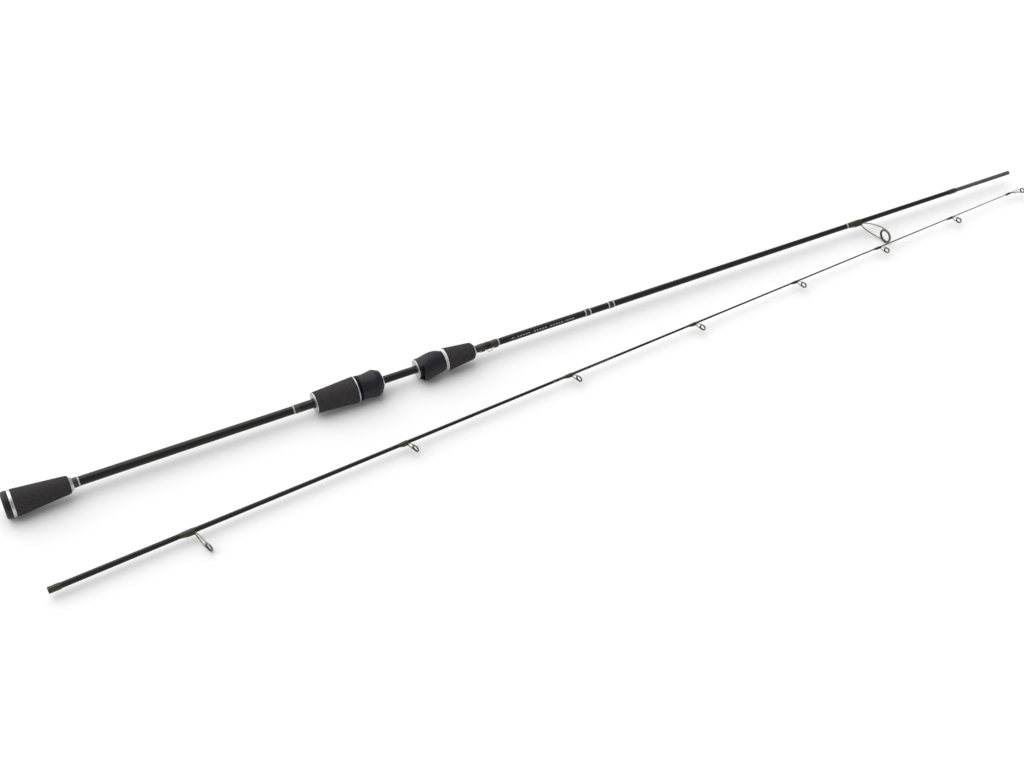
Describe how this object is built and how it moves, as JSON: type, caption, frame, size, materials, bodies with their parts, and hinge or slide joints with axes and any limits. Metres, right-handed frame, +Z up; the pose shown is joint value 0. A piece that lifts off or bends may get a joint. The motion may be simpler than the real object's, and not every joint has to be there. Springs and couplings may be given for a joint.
{
  "type": "spinning rod",
  "caption": "Two-piece spinning rod lying open, its slim sections side by side, with foam grips, a split reel seat with a screw-down hood, and ringed line guides.",
  "frame": {"origin": "on the floor below the middle of the whole layout", "axes": "+X along the butt section from its cap to its spigot, +Z up, the tip section on the -Y side"},
  "size_m": [1.026, 0.1222, 0.024],
  "materials": {
    "carbon_blank": "clear-coated carbon weave",
    "eva_foam": "matt closed-cell foam",
    "soft_touch": "soft-touch coated",
    "bright_metal": "satin anodised",
    "seat_polymer": "moulded",
    "silver_thread": "metallic thread under varnish",
    "dark_thread": "olive and black thread under varnish",
    "guide_wire": "polished wire",
    "ring_ceramic": "polished dark ceramic",
    "dot_varnish": "varnished paint dot"
  },
  "bodies": {
    "butt_section": {"butt_blank": "carbon_blank", "butt_cap": "soft_touch", "butt_cap_ring": "bright_metal", "butt_ferrule_wrap": "dark_thread", "butt_grip": "eva_foam", "butt_grip_check": "bright_metal", "butt_grip_wrap": "dark_thread", "front_seat_arbor": "seat_polymer", "guide_1_frame": "guide_wire", "guide_1_ring": "ring_ceramic", "guide_1_wrap": "dark_thread", "hook_keeper": "guide_wire", "keeper_front_wrap": "dark_thread", "keeper_middle_wrap": "dark_thread", "keeper_rear_wrap": "dark_thread", "rear_hood": "soft_touch", "rear_hood_ring": "bright_metal", "rear_seat_arbor": "seat_polymer", "seat_grip": "eva_foam", "seat_grip_check": "bright_metal", "seat_grip_ring": "bright_metal", "seat_rear_wrap": "dark_thread", "silver_thread_trims": "silver_thread", "thread_bands": "dark_thread", "thread_barrel": "seat_polymer"},
    "front_hood": {"front_hood": "soft_touch", "front_hood_collar": "bright_metal"},
    "lock_nut": {"lock_nut": "seat_polymer", "nut_ring": "bright_metal", "foregrip": "eva_foam", "foregrip_check": "bright_metal"},
    "alignment_dot": {"alignment_dot": "dot_varnish"},
    "tip_section": {"tip_blank": "carbon_blank", "tip_ferrule_wrap": "dark_thread", "tip_top_frame": "guide_wire", "tip_top_ring": "ring_ceramic", "tip_top_wrap": "dark_thread", "guide_2_frame": "guide_wire", "guide_2_ring": "ring_ceramic", "guide_2_wrap": "dark_thread", "guide_3_frame": "guide_wire", "guide_3_ring": "ring_ceramic", "guide_3_wrap": "dark_thread", "guide_4_frame": "guide_wire", "guide_4_ring": "ring_ceramic", "guide_4_wrap": "dark_thread", "guide_5_frame": "guide_wire", "guide_5_ring": "ring_ceramic", "guide_5_wrap": "dark_thread", "guide_6_frame": "guide_wire", "guide_6_ring": "ring_ceramic", "guide_6_wrap": "dark_thread", "guide_7_frame": "guide_wire", "guide_7_ring": "ring_ceramic", "guide_7_wrap": "dark_thread", "guide_8_frame": "guide_wire", "guide_8_ring": "ring_ceramic", "guide_8_wrap": "dark_thread"}
  },
  "joints": [
    {"name": "hood_slide", "type": "slide", "parent": "butt_section", "child": "front_hood", "axis": [-1, 0, 0], "range_m": [0, 0.012]},
    {"name": "nut_turn", "type": "hinge", "parent": "front_hood", "child": "lock_nut", "pos_m": [-0.118, 0.0491, 0.012], "axis": [-1, 0, 0], "range_deg": [0, 2160]},
    {"name": "section_join", "type": "hinge", "parent": "butt_section", "child": "alignment_dot", "pos_m": [-0.02301, 0.00131, 0.01001], "axis": [-0.1003, 0.995, 0], "range_deg": [0, 180]},
    {"name": "section_level", "type": "hinge", "parent": "alignment_dot", "child": "tip_section", "pos_m": [-0.49702, -0.04647, 0.00803], "axis": [-0.1357, 0.9907, 0], "range_deg": [-180, 0]}
  ],
  "couplings": [
    {"joint": "nut_turn", "follows": "hood_slide", "rad_per_m": 3141.5},
    {"joint": "section_level", "follows": "section_join", "ratio": -1}
  ]
}
